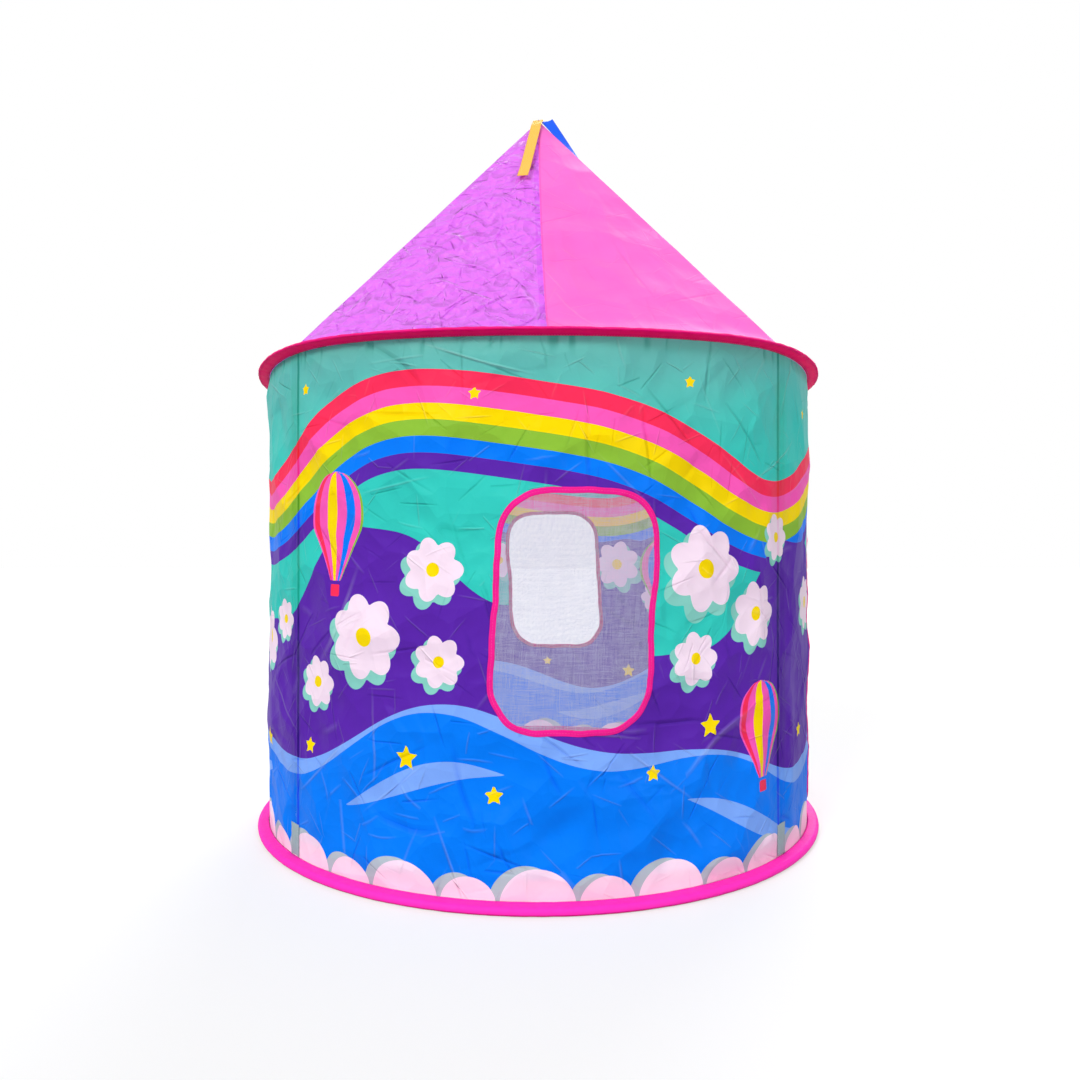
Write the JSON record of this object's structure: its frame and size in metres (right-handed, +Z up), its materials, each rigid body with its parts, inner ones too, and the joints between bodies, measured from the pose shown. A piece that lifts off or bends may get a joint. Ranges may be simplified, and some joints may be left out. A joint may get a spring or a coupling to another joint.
{
  "type": "kids play tent",
  "caption": "Round play tent with printed cloth walls, net windows, doorway with curtains and a four-rib conical roof, folding down on its wire hoops.",
  "frame": {"origin": "middle of the base ring, on the floor", "axes": "+Z up, -Y towards the front window, +X towards the doorway"},
  "size_m": [1.0502, 1.0502, 1.333],
  "materials": {
    "wall_print": "printed thin polyester",
    "roof_purple": "plain thin polyester",
    "roof_pink": "plain thin polyester",
    "eave_cloth": "sewn tube binding",
    "base_cloth": "sewn tube binding",
    "trim_pink": "folded tape binding",
    "net": "fine net",
    "curtain_cloth": "thin polyester",
    "ribbon_orange": "woven ribbon",
    "ribbon_blue": "woven ribbon",
    "sleeve_cloth": "thin polyester",
    "rod_plastic": "drawn rod",
    "ferrule_metal": "plated tube",
    "hoop_steel": "spring steel wire",
    "hub_plastic": "moulded"
  },
  "bodies": {
    "base": {"base_binding": "base_cloth", "base_hoop": "hoop_steel", "base_hoop_crimp": "hoop_steel", "wall_front": "wall_print", "wall_right": "wall_print", "wall_back": "wall_print", "wall_left": "wall_print", "window_net_front": "net", "window_net_back": "net", "window_binding_front": "trim_pink", "window_binding_back": "trim_pink", "door_binding": "trim_pink", "pole_sleeve_front_right": "sleeve_cloth", "pole_sleeve_back_right": "sleeve_cloth", "pole_sleeve_back_left": "sleeve_cloth", "pole_sleeve_front_left": "sleeve_cloth", "pocket_bottom_front_right": "sleeve_cloth", "pocket_bottom_back_right": "sleeve_cloth", "pocket_bottom_back_left": "sleeve_cloth", "pocket_bottom_front_left": "sleeve_cloth"},
    "pole_lower_front_right": {"pole_lower_front_right": "rod_plastic", "pole_ferrule_front_right": "ferrule_metal"},
    "pole_upper_front_right": {"pole_upper_front_right": "rod_plastic"},
    "pole_lower_back_right": {"pole_lower_back_right": "rod_plastic", "pole_ferrule_back_right": "ferrule_metal"},
    "pole_upper_back_right": {"pole_upper_back_right": "rod_plastic"},
    "pole_lower_back_left": {"pole_lower_back_left": "rod_plastic", "pole_ferrule_back_left": "ferrule_metal"},
    "pole_upper_back_left": {"pole_upper_back_left": "rod_plastic"},
    "pole_lower_front_left": {"pole_lower_front_left": "rod_plastic", "pole_ferrule_front_left": "ferrule_metal"},
    "pole_upper_front_left": {"pole_upper_front_left": "rod_plastic"},
    "roof": {"eave_binding": "eave_cloth", "eave_hoop": "hoop_steel", "eave_hoop_crimp": "hoop_steel", "roof_front_right": "roof_pink", "roof_back_right": "roof_purple", "roof_back_left": "roof_pink", "roof_front_left": "roof_purple", "apex_hub": "hub_plastic", "ribbon_orange": "ribbon_orange", "ribbon_blue": "ribbon_blue", "rib_lower_front_right": "rod_plastic", "rib_ferrule_front_right": "ferrule_metal", "rib_upper_front_right": "rod_plastic", "rib_lower_back_right": "rod_plastic", "rib_ferrule_back_right": "ferrule_metal", "rib_upper_back_right": "rod_plastic", "rib_lower_back_left": "rod_plastic", "rib_ferrule_back_left": "ferrule_metal", "rib_upper_back_left": "rod_plastic", "rib_lower_front_left": "rod_plastic", "rib_ferrule_front_left": "ferrule_metal", "rib_upper_front_left": "rod_plastic"},
    "curtain_far": {"door_curtain_far": "curtain_cloth", "door_tie_far": "trim_pink"},
    "curtain_near": {"door_curtain_near": "curtain_cloth", "door_tie_near": "trim_pink"}
  },
  "joints": [
    {"name": "tent_fold", "type": "hinge", "parent": "base", "child": "pole_lower_front_right", "pos_m": [0.38417, -0.32236, 0.016], "axis": [-0.6428, -0.766, 0], "range_deg": [0, 84], "deforming": ["pole_sleeve_front_right", "pole_sleeve_back_right", "pole_sleeve_back_left", "pole_sleeve_front_left", "pocket_bottom_front_right", "pocket_bottom_back_right", "pocket_bottom_back_left", "pocket_bottom_front_left", "door_curtain_far", "door_curtain_near", "door_tie_far", "door_tie_near"]},
    {"name": "knee_fold_front_right", "type": "hinge", "parent": "pole_lower_front_right", "child": "pole_upper_front_right", "pos_m": [0.38417, -0.32236, 0.4005], "axis": [-0.6428, -0.766, 0], "range_deg": [-168, 0]},
    {"name": "pole_fold_back_right", "type": "hinge", "parent": "base", "child": "pole_lower_back_right", "pos_m": [0.38417, 0.32236, 0.016], "axis": [0.6428, -0.766, 0], "range_deg": [0, 84]},
    {"name": "knee_fold_back_right", "type": "hinge", "parent": "pole_lower_back_right", "child": "pole_upper_back_right", "pos_m": [0.38417, 0.32236, 0.4005], "axis": [0.6428, -0.766, 0], "range_deg": [-168, 0]},
    {"name": "pole_fold_back_left", "type": "hinge", "parent": "base", "child": "pole_lower_back_left", "pos_m": [-0.38417, 0.32236, 0.016], "axis": [0.6428, 0.766, 0], "range_deg": [0, 84]},
    {"name": "knee_fold_back_left", "type": "hinge", "parent": "pole_lower_back_left", "child": "pole_upper_back_left", "pos_m": [-0.38417, 0.32236, 0.4005], "axis": [0.6428, 0.766, 0], "range_deg": [-168, 0]},
    {"name": "pole_fold_front_left", "type": "hinge", "parent": "base", "child": "pole_lower_front_left", "pos_m": [-0.38417, -0.32236, 0.016], "axis": [-0.6428, 0.766, 0], "range_deg": [0, 84]},
    {"name": "knee_fold_front_left", "type": "hinge", "parent": "pole_lower_front_left", "child": "pole_upper_front_left", "pos_m": [-0.38417, -0.32236, 0.4005], "axis": [-0.6428, 0.766, 0], "range_deg": [-168, 0]},
    {"name": "roof_level", "type": "hinge", "parent": "pole_upper_front_right", "child": "roof", "pos_m": [0.38417, -0.32236, 0.785], "axis": [-0.6428, -0.766, 0], "range_deg": [0, 84]},
    {"name": "curtain_far_swing", "type": "hinge", "parent": "base", "child": "curtain_far", "pos_m": [0.44951, 0.22509, 0], "axis": [0, 0, 1], "range_deg": [0, 143.4]},
    {"name": "curtain_near_swing", "type": "hinge", "parent": "base", "child": "curtain_near", "pos_m": [0.47058, -0.17687, 0], "axis": [0, 0, -1], "range_deg": [0, 143.4]}
  ],
  "couplings": [
    {"joint": "knee_fold_front_right", "follows": "tent_fold", "ratio": -2},
    {"joint": "pole_fold_back_right", "follows": "tent_fold", "ratio": 1},
    {"joint": "knee_fold_back_right", "follows": "tent_fold", "ratio": -2},
    {"joint": "pole_fold_back_left", "follows": "tent_fold", "ratio": 1},
    {"joint": "knee_fold_back_left", "follows": "tent_fold", "ratio": -2},
    {"joint": "pole_fold_front_left", "follows": "tent_fold", "ratio": 1},
    {"joint": "knee_fold_front_left", "follows": "tent_fold", "ratio": -2},
    {"joint": "roof_level", "follows": "tent_fold", "ratio": 1}
  ]
}
